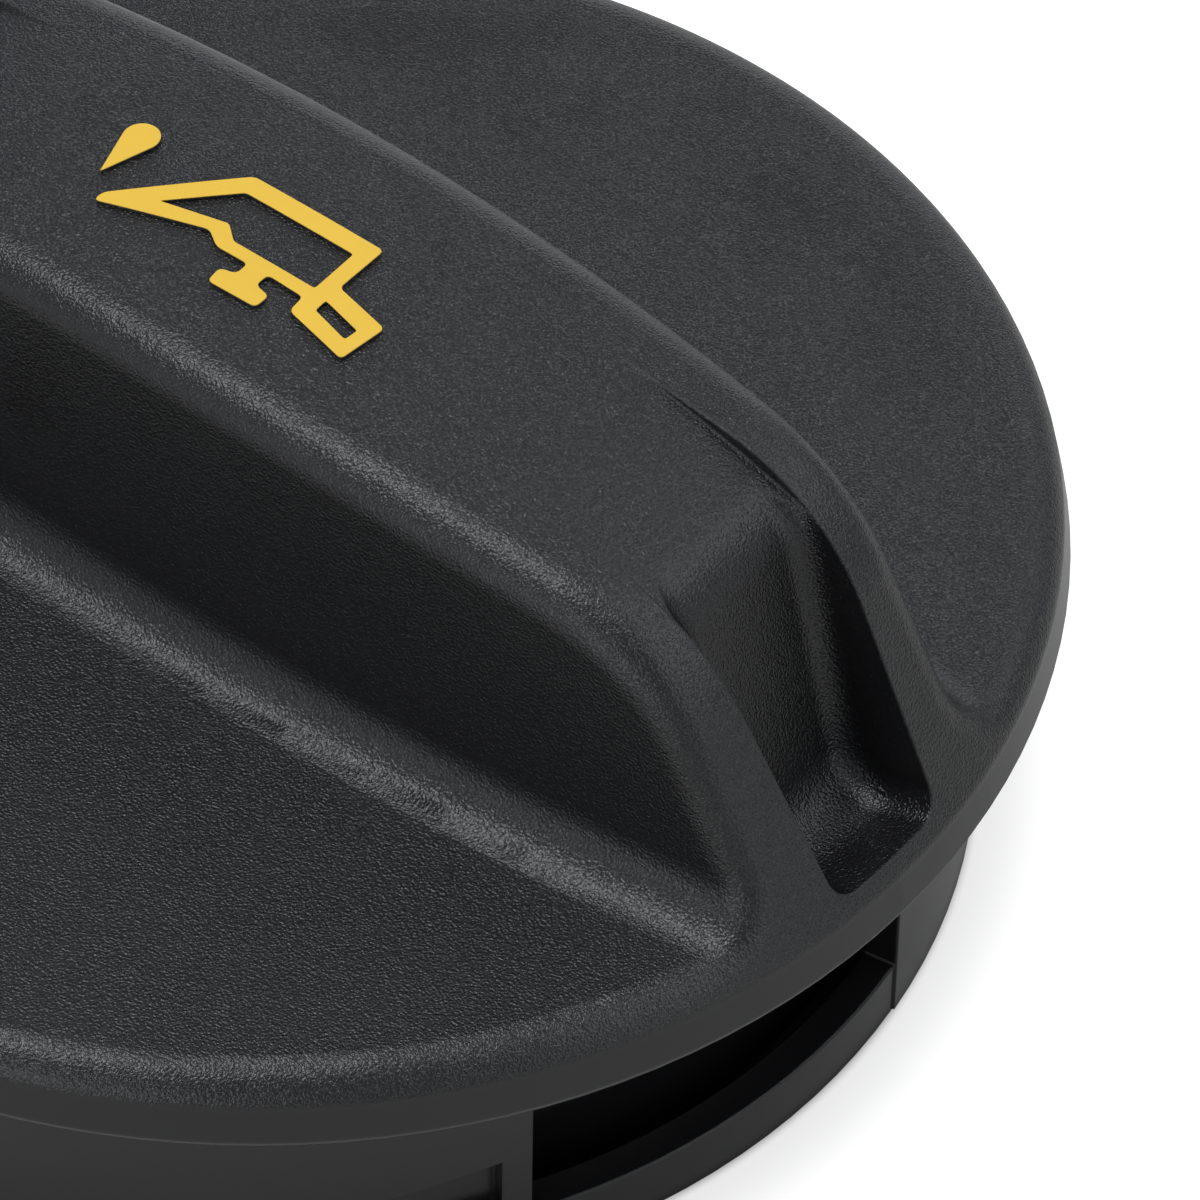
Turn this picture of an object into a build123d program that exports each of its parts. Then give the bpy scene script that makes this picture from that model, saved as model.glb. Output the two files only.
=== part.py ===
"""Oil filler cap: one black moulding with a bar handle, and the rubber seal inside it.

Millimetres. The origin is on the cap's axis, on the plane that it stands on.
+X runs along the handle and +Z up.
"""

import os
from math import asin, cos, radians, sin, tan

from build123d import *

# Flange and the outer form that the handle's ends share with its rim
flange_radius = 36.0
flange_thickness = 3.45
rim_wall = 2.2
rim_lean = 11.0
rim_blend = 0.9
rim_bevel = 0.35
rim_bevel_run = 0.15

# Handle
handle_rise = 15.25
handle_width = 20.0
handle_end_lean = 28.7
handle_bow_radius = 222.0
handle_draft = 4.8
crown_radius = 174.0
shoulder_radius = 10.0
foot_radius = 2.5
edge_radius = 2.0

# Scoop in each end of the handle
scoop_width = 9.2
scoop_draft = 4.0
scoop_depth = 4.7
scoop_back_lean = 17.7
scoop_floor_slope = 20.0
scoop_lip_height = 0.85
scoop_floor_radius = 2.6
scoop_side_radius = 1.3
scoop_brow_radius = 3.5
dish_start = 13.0
dish_radius = 58.0
dish_angle = 0.3

# Hollow under the handle
handle_wall = 2.6
hollow_length = 33.0
hollow_roof_radius = 1.5
rib_thickness = 1.8
rib_pitch = 11.2

# Outer skirt with its windows, notches and hoop
skirt_height = 14.4
skirt_radius = 32.4
skirt_wall = 1.8
window_count = 4
window_span = 39.0
window_centre = -9.75
hoop_height = 3.0
hoop_inset = 0.1
hoop_bevel = 0.2
post_span = 2.45
notch_length = 7.9
notch_tall_side = 7.0
notch_low_side = 5.35
notch_depth = 0.9

# Inner barrel with its bayonet lugs
barrel_gap = 1.6
barrel_wall = 2.4
lug_span = 36.0
lug_depth = 2.1
lug_underside = 1.2
lug_thickness = 3.0
lug_ramp_drop = 1.3
lug_ramp_length = 6.0

# Seal and the collar that holds it
seal_thickness = 2.5
seal_width = 5.7
seal_bead = 0.6
seal_clearance = 0.1
collar_wall = 1.2
collar_lip = 0.5
collar_lip_height = 0.7

# Levels and radii that follow from them
flange_top = skirt_height + flange_thickness
rim_top = skirt_height + rim_wall
rim_top_radius = flange_radius - (rim_wall - rim_bevel) * tan(radians(rim_lean))
crown_top = flange_top + handle_rise
crown_centre = crown_top - crown_radius
barrel_radius = skirt_radius - skirt_wall - barrel_gap
bore_radius = barrel_radius - barrel_wall
seal_outer = bore_radius - seal_clearance
seal_inner = seal_outer - seal_width
collar_radius = seal_inner - seal_clearance

# How far construction shapes run past the cap
spare = 5.0
outside = flange_radius + spare
above = crown_top + spare


def handle_bar(half_width, half_length, top, drafted_ends):
    """A bar with bowed sides that lean in upwards from the flange's top face."""
    end_half_width = half_width - handle_bow_radius + (handle_bow_radius**2 - half_length**2) ** 0.5
    with BuildPart() as bar:
        with BuildSketch(Plane.XY.offset(skirt_height)):
            with BuildLine():
                far_end = (half_length, end_half_width)
                near_end = (half_length, -end_half_width)
                far_side = ThreePointArc((-half_length, end_half_width), (0, half_width), far_end)
                near_side = ThreePointArc((-half_length, -end_half_width), (0, -half_width), near_end)
                Line(far_side @ 0, near_side @ 0)
                Line(far_side @ 1, near_side @ 1)
            make_face()
        extrude(amount=top - skirt_height)
        walls = bar.faces().filter_by(GeomType.CYLINDER)
        if drafted_ends:
            walls += bar.faces().filter_by(Axis.X)
        draft(walls, Plane.XY.offset(flange_top), handle_draft)
    return bar.part


# Outer form: a turned shape with a leaning rim, a rounded shoulder and a shallow crown
with BuildPart() as outer_form:
    with BuildSketch(Plane.XZ) as outer_half:
        lean_run = (crown_top - rim_top) * tan(radians(handle_end_lean))
        with BuildLine():
            Polyline(
                (0, skirt_height),
                (flange_radius - rim_bevel_run, skirt_height),
                (flange_radius, skirt_height + rim_bevel),
                (rim_top_radius, rim_top),
                (rim_top_radius - lean_run, crown_top),
                (0, crown_top),
                close=True,
            )
        make_face()
        with Locations((0, crown_centre)):
            Circle(crown_radius, mode=Mode.INTERSECT)
        fillet(outer_half.vertices().sort_by(Axis.Y)[-2], radius=shoulder_radius)
        fillet(outer_half.vertices().sort_by(Axis.Y)[3], radius=rim_blend)
    revolve(axis=Axis.Z)

# Hollow under the handle: three cells with a rib between each two
hollow_roof = crown_centre + (crown_radius**2 - (hollow_length / 2) ** 2) ** 0.5 - handle_wall
with BuildPart() as hollow:
    add(handle_bar(handle_width / 2 - handle_wall, hollow_length / 2, hollow_roof, True))
    fillet(hollow.edges().filter_by(GeomType.CIRCLE).group_by(Axis.Z)[-1], radius=hollow_roof_radius)
    with GridLocations(rib_pitch, 0, 2, 1):
        Box(rib_thickness, handle_width, 2 * above, mode=Mode.SUBTRACT)

# Scoop: a shallow dish in the crown that rolls over a brow into a deep pocket
lip_level = rim_top + scoop_lip_height
lip_reach = rim_top_radius - (lip_level - rim_top) * tan(radians(handle_end_lean))
pocket_foot = lip_reach - scoop_depth
foot_level = lip_level - scoop_depth * tan(radians(scoop_floor_slope))
floor_end_level = lip_level + (outside - lip_reach) * tan(radians(scoop_floor_slope))
pocket_head = pocket_foot - (above - foot_level) * tan(radians(scoop_back_lean))
dish_slope = asin(dish_start / crown_radius) + radians(dish_angle)
dish_start_level = crown_centre + (crown_radius**2 - dish_start**2) ** 0.5
dish_centre = (dish_start - dish_radius * sin(dish_slope), dish_start_level - dish_radius * cos(dish_slope))


def dish_region(start):
    """The space over the dish, from a place along the handle outwards."""
    with Locations((start, lip_level)):
        Rectangle(lip_reach - start, above - lip_level, align=(Align.MIN, Align.MIN))
    with Locations(dish_centre):
        Circle(dish_radius, mode=Mode.SUBTRACT)


with BuildPart() as dish:
    with BuildSketch(Plane.XZ):
        dish_region(dish_start)
    extrude(amount=scoop_width / 2, both=True)
    draft(dish.faces().filter_by(Axis.Y), Plane.XY.offset(crown_top), -scoop_draft)

with BuildPart() as pocket:
    with BuildSketch(Plane.XZ) as pocket_profile:
        dish_region(pocket_head - scoop_brow_radius)
        with BuildLine():
            Polyline(
                (pocket_foot, foot_level),
                (outside, floor_end_level),
                (outside, above),
                (pocket_head, above),
                close=True,
            )
        make_face()
        fillet(pocket_profile.vertices().sort_by(Axis.X)[2], radius=scoop_brow_radius)
        fillet(pocket_profile.vertices().sort_by(Axis.Y)[0], radius=scoop_floor_radius)
    extrude(amount=scoop_width / 2, both=True)
    draft(pocket.faces().filter_by(Axis.Y), Plane.XY.offset(crown_top), -scoop_draft)
    side_edges = pocket.faces().group_by(Axis.Y)[0].edges() + pocket.faces().group_by(Axis.Y)[-1].edges()
    bed_edges = side_edges.sort_by(Axis.X)[:-2].filter_by(lambda edge: edge.center().Z < crown_top)
    fillet(bed_edges, radius=scoop_side_radius)

with BuildPart() as scoops:
    add(dish.part)
    add(pocket.part)
    mirror(about=Plane.YZ)

# Outer skirt: a thin wall with windows above a hoop, and a shallow sloped notch beside each window
with BuildPart() as skirt:
    with BuildSketch():
        Circle(skirt_radius)
        Circle(skirt_radius - skirt_wall, mode=Mode.SUBTRACT)
    extrude(amount=skirt_height)

skirt_bore = skirt_radius - skirt_wall
bevel_top = skirt_bore + hoop_bevel

with BuildPart() as window:
    with BuildSketch(Plane.XZ):
        with BuildLine():
            Polyline(
                (skirt_radius + spare, -spare),
                (skirt_radius - hoop_inset, -spare),
                (skirt_radius - hoop_inset, hoop_height),
                (bevel_top, hoop_height),
                (skirt_bore, hoop_height - hoop_bevel),
                (skirt_bore - barrel_gap / 2, hoop_height - hoop_bevel),
                (skirt_bore - barrel_gap / 2, skirt_height),
                (skirt_radius + spare, skirt_height),
                close=True,
            )
        make_face()
    revolve(axis=Axis.Z, revolution_arc=window_span)

with BuildPart() as notch:
    with BuildSketch(Plane(origin=(skirt_radius - notch_depth, 0, 0), x_dir=(0, 1, 0), z_dir=(1, 0, 0))):
        with BuildLine():
            Polyline(
                (0, hoop_height),
                (0, notch_tall_side),
                (-notch_length, notch_low_side),
                (-notch_length, hoop_height),
                close=True,
            )
        make_face()
    extrude(amount=spare)

window_start = window_centre - window_span / 2
with BuildPart() as pierced_skirt:
    add(skirt.part)
    with PolarLocations(0, window_count, start_angle=window_start):
        add(window.part, mode=Mode.SUBTRACT)
    with PolarLocations(0, window_count, start_angle=window_start - post_span):
        add(notch.part, mode=Mode.SUBTRACT)

# Inner barrel: fits over the filler neck, with lugs that hook under the neck's own
with BuildPart() as lug:
    with BuildSketch(Plane.XZ):
        with Locations((bore_radius + barrel_wall / 2, lug_underside)):
            Rectangle(lug_depth + barrel_wall / 2, lug_thickness, align=(Align.MAX, Align.MIN))
    revolve(axis=Axis.Z, revolution_arc=lug_span)
    lug_top = lug.faces().sort_by(Axis.Z)[-1]
    lead_edge = lug_top.edges().filter_by(GeomType.LINE).sort_by(Axis.Y)[0]
    chamfer(lead_edge, length=lug_ramp_length, length2=lug_ramp_drop, reference=lug_top)

with BuildPart() as barrel:
    with BuildSketch():
        Circle(barrel_radius)
        Circle(bore_radius, mode=Mode.SUBTRACT)
    extrude(amount=skirt_height)
    with PolarLocations(0, window_count, start_angle=window_centre - lug_span / 2):
        add(lug.part)

# Collar on the roof, with a lip that keeps the seal from dropping out
lip_top = skirt_height - seal_thickness - seal_clearance
with BuildPart() as collar:
    with BuildSketch(Plane.XZ):
        with BuildLine():
            Polyline(
                (collar_radius - collar_wall, skirt_height),
                (collar_radius - collar_wall, lip_top - collar_lip_height),
                (collar_radius, lip_top - collar_lip_height),
                (collar_radius + collar_lip, lip_top),
                (collar_radius, lip_top),
                (collar_radius, skirt_height),
                close=True,
            )
        make_face()
    revolve(axis=Axis.Z)

# The moulding: handle and flange cut from the outer form, then hollowed and given skirt, barrel and collar
with BuildPart() as cap_body:
    add(handle_bar(handle_width / 2, outside, above, False))
    with Locations((0, 0, skirt_height)):
        Box(2 * outside, 2 * outside, flange_thickness, align=(Align.CENTER, Align.CENTER, Align.MIN))
    foot_edges = cap_body.edges().filter_by(GeomType.CIRCLE).group_by(Axis.Z)[0]
    fillet(foot_edges, radius=foot_radius)
    add(outer_form.part, mode=Mode.INTERSECT)
    fillet(cap_body.edges(Select.NEW), radius=edge_radius)
    add(scoops.part, mode=Mode.SUBTRACT)
    add(hollow.part, mode=Mode.SUBTRACT)
    add(pierced_skirt.part)
    add(barrel.part)
    add(collar.part)

# Seal: a flat ring with a bead on the face that meets the neck
seal_underside = skirt_height - seal_thickness
seal_middle = (seal_inner + seal_outer) / 2
with BuildPart() as seal_ring:
    with BuildSketch(Plane.XZ):
        with Locations((seal_middle, skirt_height)):
            Rectangle(seal_width, seal_thickness, align=(Align.CENTER, Align.MAX))
        with BuildLine():
            Polyline(
                (seal_middle - seal_bead, seal_underside),
                (seal_middle, seal_underside - seal_bead),
                (seal_middle + seal_bead, seal_underside),
                close=True,
            )
        make_face()
    revolve(axis=Axis.Z)

os.makedirs("parts", exist_ok=True)
for name, piece in {"cap_body": cap_body, "seal_ring": seal_ring}.items():
    piece.part.label = name
    export_step(piece.part, f"parts/{name}.step")
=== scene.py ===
"""Looks of the oil filler cap: finishes, the foil sign on the handle, and the studio that it is seen in.

Metres, in the part's own frame. The handle runs along X and the cap stands on Z = 0.
"""

import math

import bmesh
import bpy
from bpy.props import FloatProperty, FloatVectorProperty, PointerProperty
from mathutils import Matrix, Vector


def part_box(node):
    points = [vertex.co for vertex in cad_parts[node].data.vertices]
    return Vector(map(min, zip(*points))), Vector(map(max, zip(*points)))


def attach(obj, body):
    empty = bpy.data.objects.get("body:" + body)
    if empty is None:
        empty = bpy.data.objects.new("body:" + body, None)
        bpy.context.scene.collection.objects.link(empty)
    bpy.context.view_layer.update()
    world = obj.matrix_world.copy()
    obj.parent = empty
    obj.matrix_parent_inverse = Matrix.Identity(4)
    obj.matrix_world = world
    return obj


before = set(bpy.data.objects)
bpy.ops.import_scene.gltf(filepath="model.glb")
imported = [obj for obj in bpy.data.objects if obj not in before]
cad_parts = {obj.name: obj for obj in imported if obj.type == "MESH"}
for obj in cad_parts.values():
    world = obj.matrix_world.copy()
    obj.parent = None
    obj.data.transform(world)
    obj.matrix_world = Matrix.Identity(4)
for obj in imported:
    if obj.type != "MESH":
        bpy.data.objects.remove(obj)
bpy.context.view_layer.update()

bl_info = {
    "name": "Oil filler cap",
    "version": (1, 0, 0),
    "blender": (4, 5, 0),
    "location": "View3D > Sidebar > Cap",
    "description": "Dresses a packed oil filler cap and sets up its studio",
    "category": "Object",
}

CAP_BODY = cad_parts["cap_body"]
SEAL_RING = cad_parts["seal_ring"]
CROWN_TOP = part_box("cap_body")[1].z
MM = 0.001

# Sockets of a Mix node that is set to colours
MIX_FACTOR, MIX_FIRST, MIX_SECOND, MIX_RESULT = 0, 6, 7, 2

# The sign, in millimetres: along the handle, then towards its front side
CAN = [
    (-6.9, 2.6), (-2.35, -2.25), (4.87, -2.37), (4.86, 0.58), (7.86, 1.18), (7.55, 3.74), (4.08, 3.02),
    (4.0, 2.03), (2.0, 2.0), (2.0, 2.78), (2.85, 2.93), (2.8, 3.8), (0.2, 3.9), (0.12, 3.0), (0.9, 2.8),
    (0.9, 2.04), (-0.85, 2.08), (-1.75, 1.48), (-5.37, 2.67), (-6.9, 3.19),
]
CAN_BODY = [(-4.6, 1.5), (-1.98, -1.24), (4.02, -1.34), (4.06, 1.31), (-0.45, 1.38), (-1.3, 0.68)]
CAN_GRIP = [(4.9, 1.56), (7.05, 2.04), (6.96, 2.77), (4.92, 2.28)]
DROP_TIP = (-7.88, 1.66)
DROP_CENTRE = Vector((-7.88, -1.12))
DROP_RADIUS = 0.86
DROP_STEPS = 24

# Each lamp: compass angle and height angle in degrees, the power it follows and its share of that power
LAMPS = {
    "key": (216, 70, "key_power", 1.0),
    "top": (144, 70, "key_power", 0.06),
    "right": (22, 45, "side_power", 1.0),
    "back": (67, 45, "side_power", 0.85),
    "sweep_right": (0, 15, "sweep_power", 1.0),
    "sweep_back": (120, 15, "sweep_power", 1.1),
    "sweep_left": (240, 15, "sweep_power", 0.5),
    "sweep_front": (280, 15, "sweep_power", 2.2),
}
LAMP_COLOUR = (0.965, 0.98, 1.0)
ROOM_COLOUR = (0.86, 0.91, 1.0, 1.0)
WHITE = (1.0, 1.0, 1.0, 1.0)
FLOOR_RADIUS = 1.5

CAMERA_PLACE = (0.1819, -0.2093, 0.3081)
CAMERA_AIM = (-0.4181, 0.5371, -0.7325)
CAMERA_ROLL = -1.25
SENSOR_WIDTH = 36.0


class Flow:
    """One output socket of a material. Arithmetic on it adds Math nodes."""

    def __init__(self, tree, socket):
        self.tree = tree
        self.socket = socket

    def node(self, kind, settings, sockets, output=0):
        """Add a node: its settings come first, then the values or links of its sockets."""
        made = self.tree.nodes.new(kind)
        for name, value in settings.items():
            setattr(made, name, value)
        for name, value in sockets.items():
            if isinstance(value, Flow):
                self.tree.links.new(value.socket, made.inputs[name])
            else:
                made.inputs[name].default_value = value
        return Flow(self.tree, made.outputs[output] if made.outputs else None)

    def math(self, operation, *terms):
        """Add a Math node on the terms given."""
        return self.node("ShaderNodeMath", {"operation": operation}, dict(enumerate(terms)))

    def __add__(self, other):
        return self.math("ADD", self, other)

    def __radd__(self, other):
        return self.math("ADD", other, self)

    def __sub__(self, other):
        return self.math("SUBTRACT", self, other)

    def __rsub__(self, other):
        return self.math("SUBTRACT", other, self)

    def __mul__(self, other):
        return self.math("MULTIPLY", self, other)

    def __rmul__(self, other):
        return self.math("MULTIPLY", other, self)

    def between(self, low, high):
        """0 below low, 1 above high, with a smooth step from one to the other."""
        sockets = {"Value": self, "From Min": low, "From Max": high}
        return self.node("ShaderNodeMapRange", {"interpolation_type": "SMOOTHSTEP"}, sockets)


def new_material(name):
    """An empty material, with the Flow that its nodes are added from."""
    material = bpy.data.materials.new(name)
    material.use_nodes = True
    material.node_tree.nodes.clear()
    return material, Flow(material.node_tree, None)


def tint(flow, factor, first, second):
    """A colour that goes from first to second, each written out or made by nodes."""
    first, second = [end if isinstance(end, Flow) else (*end, 1.0) for end in (first, second)]
    sockets = {MIX_FACTOR: factor, MIX_FIRST: first, MIX_SECOND: second}
    return flow.node("ShaderNodeMix", {"data_type": "RGBA"}, sockets, output=MIX_RESULT)


def place(flow):
    """The point on the piece, in metres."""
    return flow.node("ShaderNodeTexCoord", {}, {}, output="Object")


def level(flow, point):
    """The point's height."""
    return flow.node("ShaderNodeSeparateXYZ", {}, {"Vector": point}, output="Z")


def reach(flow, point):
    """The point's distance from the cap's axis."""
    x, y = [flow.node("ShaderNodeSeparateXYZ", {}, {"Vector": point}, output=axis) for axis in "XY"]
    return flow.math("SQRT", x * x + y * y)


def noise(flow, point, size, detail=2.0, roughness=0.5, distortion=0.0):
    """Noise whose lumps are about size metres across."""
    shape = {"Detail": detail, "Roughness": roughness, "Distortion": distortion}
    return flow.node("ShaderNodeTexNoise", {}, {"Vector": point, "Scale": 1 / size, **shape})


def finish_surface(flow, sockets):
    """The Principled shader and the material's output."""
    shader = flow.node("ShaderNodeBsdfPrincipled", {}, sockets)
    flow.node("ShaderNodeOutputMaterial", {}, {"Surface": shader})


def scaled(colour, amount):
    """A colour made darker or lighter."""
    return tuple(amount * part for part in colour)


def black_plastic(finish):
    """Moulded plastic: leathery grain on top, smoother on the rim's wall and on the skirt."""
    material, flow = new_material("black_plastic")
    point = place(flow)
    height = level(flow, point)
    within = 1 - reach(flow, point).between(finish.grain_reach, finish.grain_reach + 0.5 * MM)
    over = height.between(finish.flange_level, finish.flange_level + 0.1 * MM)
    handle = height.between(finish.grain_floor, finish.grain_floor + 0.5 * MM)
    grained = flow.math("MAXIMUM", within * over, handle)
    leather = noise(flow, point, finish.grain_size, 1.0, 0.5, 0.3)
    peel = noise(flow, point, 2.2 * MM, 1.0)
    cloud = noise(flow, point, 9 * MM)
    colour = tint(flow, cloud, scaled(finish.plastic, 0.85), scaled(finish.plastic, 1.15))
    relief = leather * (0.1 + 0.9 * grained) + 0.25 * peel
    soft_edge = flow.node("ShaderNodeBevel", {"samples": 4}, {"Radius": finish.edge_softness})
    skin = {"Strength": 1.0, "Distance": finish.grain_depth, "Height": relief, "Normal": soft_edge}
    bump = flow.node("ShaderNodeBump", {}, skin)
    roughness = finish.plastic_roughness - 0.04 + 0.04 * grained + 0.06 * (cloud - 0.5)
    finish_surface(flow, {"Base Color": colour, "Roughness": roughness, "IOR": 1.55, "Normal": bump})
    return material


def seal_rubber(finish):
    """Matt rubber with a faint bloom."""
    material, flow = new_material("seal_rubber")
    point = place(flow)
    bloom = noise(flow, point, 5 * MM, 3.0, 0.6)
    skin = noise(flow, point, 0.25 * MM)
    colour = tint(flow, bloom.between(0.4, 0.75), finish.rubber, scaled(finish.rubber, 2.2))
    bump = flow.node("ShaderNodeBump", {}, {"Strength": 0.6, "Distance": 0.02 * MM, "Height": skin})
    finish_surface(flow, {"Base Color": colour, "Roughness": 0.55 + 0.15 * bloom, "Normal": bump})
    return material


def yellow_foil(finish):
    """Printed foil: even, satin, with a faint drift of tone."""
    material, flow = new_material("yellow_foil")
    point = place(flow)
    drift = noise(flow, point, 3 * MM)
    skin = noise(flow, point, 0.4 * MM)
    colour = tint(flow, drift, scaled(finish.foil, 0.94), scaled(finish.foil, 1.04))
    bump = flow.node("ShaderNodeBump", {}, {"Strength": 0.4, "Distance": 0.01 * MM, "Height": skin})
    finish_surface(flow, {"Base Color": colour, "Roughness": 0.42 + 0.1 * drift, "Normal": bump})
    return material


def pale_floor(stage):
    """A matt floor that keeps the shadow and looks white to the camera, with a painted shadow: painted
    dark under the cap, and its white faded beside the cap's foot.
    """
    material, flow = new_material("pale_floor")
    point = place(flow)
    mottle = noise(flow, point, 40 * MM)
    away = reach(flow, point)
    # Painted shadow: nearer the axis than the shade radius, the floor is painted near black and gets no
    # white lift
    clear_of_painted_shade = away.between(stage.shade_radius - 1 * MM, stage.shade_radius)
    pale = tint(flow, mottle, scaled(stage.floor, 0.99), stage.floor)
    colour = tint(flow, clear_of_painted_shade, (0.02, 0.02, 0.02), pale)
    matt = flow.node("ShaderNodeBsdfDiffuse", {}, {"Color": colour})
    camera, glossy, through = [
        flow.node("ShaderNodeLightPath", {}, {}, output=f"Is {ray} Ray")
        for ray in ("Camera", "Glossy", "Transmission")
    ]
    shown = camera + stage.floor_gloss * (glossy + through)
    # Painted shadow: the white lift fades in a ring just outside the shade radius, as a contact shadow
    # beside the cap's foot
    shade = stage.foot_shade * (1 - away.between(stage.shade_radius, stage.shade_radius + 4.5 * MM))
    seen = shown * clear_of_painted_shade * (1 - shade)
    dark = flow.node("ShaderNodeEmission", {}, {"Color": WHITE, "Strength": 0.0})
    lift = flow.node("ShaderNodeEmission", {}, {"Color": WHITE, "Strength": stage.floor_lift})
    white = flow.node("ShaderNodeMixShader", {}, {0: seen, 1: dark, 2: lift})
    both = flow.node("ShaderNodeAddShader", {}, {0: matt, 1: white})
    flow.node("ShaderNodeOutputMaterial", {}, {"Surface": both})
    return material


def dress(piece, material):
    """Give a piece one material."""
    piece.data.materials.clear()
    piece.data.materials.append(material)


def mount(piece):
    """Tie a piece to the cap."""
    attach(piece, "root")


def rounded(corners, radius, steps=5):
    """A closed outline with each corner rounded off."""
    outline = []
    for index, corner in enumerate(corners):
        here = Vector(corner)
        back = Vector(corners[index - 1]) - here
        ahead = Vector(corners[(index + 1) % len(corners)]) - here
        trim = min(radius, 0.45 * back.length, 0.45 * ahead.length)
        start = here + trim * back.normalized()
        end = here + trim * ahead.normalized()
        for step in range(steps + 1):
            t = step / steps
            outline.append((1 - t) ** 2 * start + 2 * t * (1 - t) * here + t * t * end)
    return outline


def sign_outlines():
    """The oil can, its two openings and the drop, in millimetres."""
    drop = [DROP_TIP]
    tangent = math.degrees(math.asin(DROP_RADIUS / (DROP_TIP[1] - DROP_CENTRE.y)))
    for step in range(DROP_STEPS + 1):
        angle = math.radians(180 - tangent + step / DROP_STEPS * (180 + 2 * tangent))
        drop.append(
            (DROP_CENTRE.x + DROP_RADIUS * math.cos(angle), DROP_CENTRE.y + DROP_RADIUS * math.sin(angle))
        )
    return [rounded(CAN, 0.28), rounded(CAN_BODY, 0.16), rounded(CAN_GRIP, 0.14), rounded(drop, 0.1)]


def sign_layer(name, crown_radius, low, high, bevel, inset):
    """One raised layer of the sign, bent over the handle's crown."""
    curve = bpy.data.curves.new(name, "CURVE")
    curve.dimensions = "2D"
    curve.fill_mode = "BOTH"
    curve.extrude = (high - low) / 2 - bevel
    curve.bevel_depth = bevel
    curve.bevel_resolution = 2
    curve.offset = -bevel - inset
    for outline in sign_outlines():
        spline = curve.splines.new("POLY")
        spline.points.add(len(outline) - 1)
        for spot, (along, front) in zip(spline.points, outline):
            spot.co = (along * MM, -front * MM, 0.0, 1.0)
        spline.use_cyclic_u = True
    shape = bpy.data.objects.new(name + "_outline", curve)
    bpy.context.collection.objects.link(shape)
    mesh = bpy.data.meshes.new_from_object(shape.evaluated_get(bpy.context.evaluated_depsgraph_get()))
    bpy.data.objects.remove(shape)
    work = bmesh.new()
    work.from_mesh(mesh)
    bmesh.ops.remove_doubles(work, verts=work.verts, dist=0.002 * MM)
    # A cut at every millimetre lets the layer follow the crown
    for cut in range(-8, 8):
        parts = work.verts[:] + work.edges[:] + work.faces[:]
        bmesh.ops.bisect_plane(work, geom=parts, plane_co=(cut * MM, 0, 0), plane_no=(1, 0, 0))
    middle = (low + high) / 2
    for vert in work.verts:
        sag = (vert.co.x**2 + vert.co.y**2) / (2 * crown_radius)
        vert.co.z += CROWN_TOP - sag + middle
    bmesh.ops.recalc_face_normals(work, faces=work.faces)
    for face in work.faces:
        face.smooth = abs(face.normal.z) < 0.98
    work.to_mesh(mesh)
    work.free()
    mesh.name = name
    piece = bpy.data.objects.new(name, mesh)
    bpy.context.collection.objects.link(piece)
    return piece


class CapFinish(bpy.types.PropertyGroup):
    """Colours and grain of the cap's finishes"""

    plastic: FloatVectorProperty(
        name="Plastic",
        description="Colour of the moulding",
        default=(0.0071, 0.0071, 0.0077),
        subtype="COLOR",
    )
    plastic_roughness: FloatProperty(
        name="Plastic roughness",
        description="Roughness of the grained faces",
        default=0.24,
        subtype="FACTOR",
    )
    grain_size: FloatProperty(
        name="Grain size",
        description="Width of one lump of the moulded grain",
        default=0.000125,
        unit="LENGTH",
        precision=6,
    )
    grain_depth: FloatProperty(
        name="Grain depth",
        description="Depth of the moulded grain",
        default=0.00006,
        unit="LENGTH",
        precision=6,
    )
    grain_floor: FloatProperty(
        name="Grain floor",
        description="Level above which the faces are grained",
        default=0.0163,
        unit="LENGTH",
    )
    grain_reach: FloatProperty(
        name="Grain reach",
        description="The flange is grained to this distance from the axis",
        default=0.0345,
        unit="LENGTH",
    )
    flange_level: FloatProperty(
        name="Flange level",
        description="Level of the flange's lower face",
        default=0.0144,
        unit="LENGTH",
    )
    edge_softness: FloatProperty(
        name="Edge softness",
        description="Radius that sharp moulded edges seem to have",
        default=0.00022,
        unit="LENGTH",
    )
    rubber: FloatVectorProperty(
        name="Rubber",
        description="Colour of the seal",
        default=(0.016, 0.016, 0.017),
        subtype="COLOR",
    )
    foil: FloatVectorProperty(
        name="Foil",
        description="Colour of the printed foil",
        default=(0.86, 0.54, 0.05),
        subtype="COLOR",
    )


class CapSign(bpy.types.PropertyGroup):
    """Sizes of the raised sign"""

    relief: FloatProperty(
        name="Relief",
        description="Height of the sign above the handle",
        default=0.0002,
        unit="LENGTH",
        precision=6,
    )
    foil_thickness: FloatProperty(
        name="Foil thickness",
        description="Part of the relief that the foil covers",
        default=0.00007,
        unit="LENGTH",
        precision=6,
    )
    crown_radius: FloatProperty(
        name="Crown radius",
        description="Radius of the handle's top",
        default=0.174,
        unit="LENGTH",
    )


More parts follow.
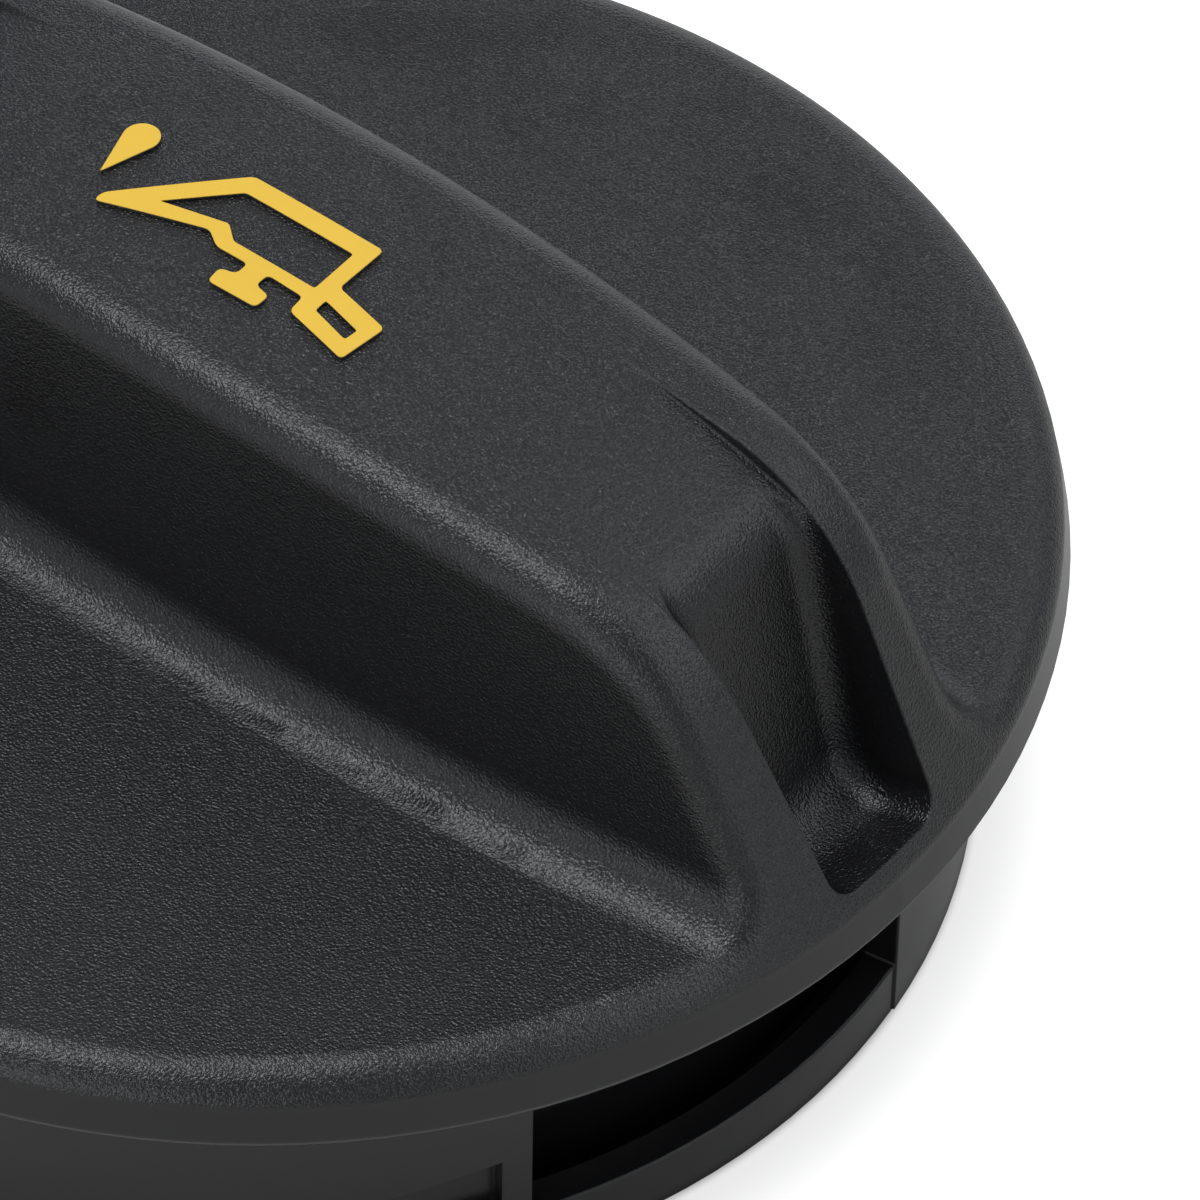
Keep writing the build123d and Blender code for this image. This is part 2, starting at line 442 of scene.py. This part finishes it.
class CapStage(bpy.types.PropertyGroup):
    """Floor, lamps and lens of the studio"""

    floor: FloatVectorProperty(
        name="Floor",
        description="Colour of the floor",
        default=(0.515, 0.505, 0.485),
        subtype="COLOR",
    )
    floor_lift: FloatProperty(
        name="Floor lift",
        description="Extra white of the floor in view",
        default=0.88,
    )
    floor_gloss: FloatProperty(
        name="Floor gloss",
        description="Share of the extra white that reflections see",
        default=0.1,
        subtype="FACTOR",
    )
    # Painted shadow: the floor is painted dark inside this radius
    shade_radius: FloatProperty(
        name="Shade radius",
        description="The floor is dark nearer to the cap's axis than this",
        default=0.0328,
        unit="LENGTH",
    )
    # Painted shadow: strength of the painted contact shadow beside the cap's foot
    foot_shade: FloatProperty(
        name="Foot shade",
        description="How far the extra white fades beside the cap's foot",
        default=0.28,
        subtype="FACTOR",
    )
    lamp_size: FloatProperty(
        name="Lamp size",
        description="Width of each round lamp",
        default=0.48,
        unit="LENGTH",
    )
    lamp_distance: FloatProperty(
        name="Lamp distance",
        description="Distance of the lamps from the cap",
        default=0.7,
        unit="LENGTH",
    )
    key_power: FloatProperty(
        name="Key power",
        description="Power of the high lamp on the left",
        default=2.55,
        unit="POWER",
    )
    side_power: FloatProperty(
        name="Side power",
        description="Power of the lamp on the right",
        default=0.75,
        unit="POWER",
    )
    sweep_power: FloatProperty(
        name="Sweep power",
        description="Power of the low lamp on the right",
        default=0.42,
        unit="POWER",
    )
    room: FloatProperty(
        name="Room",
        description="Level of the light from all round",
        default=0.31,
    )
    lens: FloatProperty(
        name="Lens",
        description="Focal length in millimetres",
        default=270.0,
    )


class CAP_OT_moulding(bpy.types.Operator):
    """Give the moulded body its grained black plastic"""

    bl_idname = "cap.moulding"
    bl_label = "Moulding"

    def execute(self, context):
        dress(CAP_BODY, black_plastic(context.scene.cap_finish))
        return {"FINISHED"}


class CAP_OT_seal(bpy.types.Operator):
    """Give the seal its rubber"""

    bl_idname = "cap.seal"
    bl_label = "Seal"

    def execute(self, context):
        dress(SEAL_RING, seal_rubber(context.scene.cap_finish))
        return {"FINISHED"}


class CAP_OT_sign(bpy.types.Operator):
    """Raise the oil can sign on the handle and cover it with foil"""

    bl_idname = "cap.sign"
    bl_label = "Oil can sign"

    def execute(self, context):
        sign = context.scene.cap_sign
        crown = sign.crown_radius
        step = sign.relief - sign.foil_thickness
        # The relief starts inside the handle and ends just inside the foil, so that no gap shows
        relief = sign_layer("sign_relief", crown, -0.1 * MM, step + 0.01 * MM, 0.01 * MM, 0.015 * MM)
        foil = sign_layer("sign_foil", crown, step, sign.relief, 0.03 * MM, 0.0)
        dress(relief, CAP_BODY.data.materials[0])
        dress(foil, yellow_foil(context.scene.cap_finish))
        mount(relief)
        mount(foil)
        return {"FINISHED"}


def soft_light(name, azimuth, elevation, power, stage):
    """A round lamp that faces the cap from a compass angle and a height angle, in degrees."""
    lamp = bpy.data.lights.new(name, "AREA")
    lamp.shape = "DISK"
    lamp.size = stage.lamp_size
    lamp.energy = power
    lamp.color = LAMP_COLOUR
    light = bpy.data.objects.new(name, lamp)
    turn, tilt = math.radians(azimuth), math.radians(elevation)
    away = Vector((math.cos(tilt) * math.cos(turn), math.cos(tilt) * math.sin(turn), math.sin(tilt)))
    light.location = Vector((0.0, 0.0, CROWN_TOP / 2)) + stage.lamp_distance * away
    light.rotation_euler = away.to_track_quat("Z", "Y").to_euler()
    light.visible_camera = False
    bpy.context.collection.objects.link(light)


class CAP_OT_studio(bpy.types.Operator):
    """Set up the floor, the lights and the camera"""

    bl_idname = "cap.studio"
    bl_label = "Studio"

    def execute(self, context):
        stage = context.scene.cap_stage
        mesh = bpy.data.meshes.new("floor")
        work = bmesh.new()
        bmesh.ops.create_circle(work, cap_ends=True, segments=96, radius=FLOOR_RADIUS)
        work.to_mesh(mesh)
        work.free()
        floor = bpy.data.objects.new("floor", mesh)
        context.collection.objects.link(floor)
        dress(floor, pale_floor(stage))

        for name, (azimuth, elevation, power, share) in LAMPS.items():
            soft_light(name, azimuth, elevation, share * getattr(stage, power), stage)

        world = bpy.data.worlds.new("room")
        world.use_nodes = True
        background = world.node_tree.nodes["Background"]
        background.inputs["Color"].default_value = ROOM_COLOUR
        background.inputs["Strength"].default_value = stage.room
        context.scene.world = world

        lens = bpy.data.cameras.new("camera")
        lens.lens = stage.lens
        lens.sensor_width = SENSOR_WIDTH
        lens.clip_start = 0.02
        camera = bpy.data.objects.new("camera", lens)
        forward = Vector(CAMERA_AIM).normalized()
        level_right = forward.cross(Vector((0, 0, 1))).normalized()
        right = Matrix.Rotation(math.radians(CAMERA_ROLL), 3, forward) @ level_right
        up = right.cross(forward)
        turn = Matrix((right, up, -forward)).transposed().to_4x4()
        camera.matrix_world = Matrix.Translation(CAMERA_PLACE) @ turn
        context.collection.objects.link(camera)
        context.scene.camera = camera
        context.scene.view_settings.view_transform = "Standard"
        return {"FINISHED"}


class CAP_PT_panel(bpy.types.Panel):
    """Steps that dress the cap, with their sizes and colours"""

    bl_label = "Oil filler cap"
    bl_space_type = "VIEW_3D"
    bl_region_type = "UI"
    bl_category = "Cap"

    def draw(self, context):
        for group in (context.scene.cap_finish, context.scene.cap_sign, context.scene.cap_stage):
            box = self.layout.box()
            for name in group.__annotations__:
                box.prop(group, name)
        for step in STEPS:
            self.layout.operator(step.bl_idname)


GROUPS = {"cap_finish": CapFinish, "cap_sign": CapSign, "cap_stage": CapStage}
STEPS = (CAP_OT_moulding, CAP_OT_seal, CAP_OT_sign, CAP_OT_studio)


def register():
    for kind in (*GROUPS.values(), *STEPS, CAP_PT_panel):
        bpy.utils.register_class(kind)
    for name, kind in GROUPS.items():
        setattr(bpy.types.Scene, name, PointerProperty(type=kind))


def unregister():
    for name in GROUPS:
        delattr(bpy.types.Scene, name)
    for kind in reversed((*GROUPS.values(), *STEPS, CAP_PT_panel)):
        bpy.utils.unregister_class(kind)


def main():
    register()
    bpy.ops.cap.moulding()
    bpy.ops.cap.seal()
    bpy.ops.cap.sign()
    bpy.ops.cap.studio()


if __name__ == "__main__":
    main()
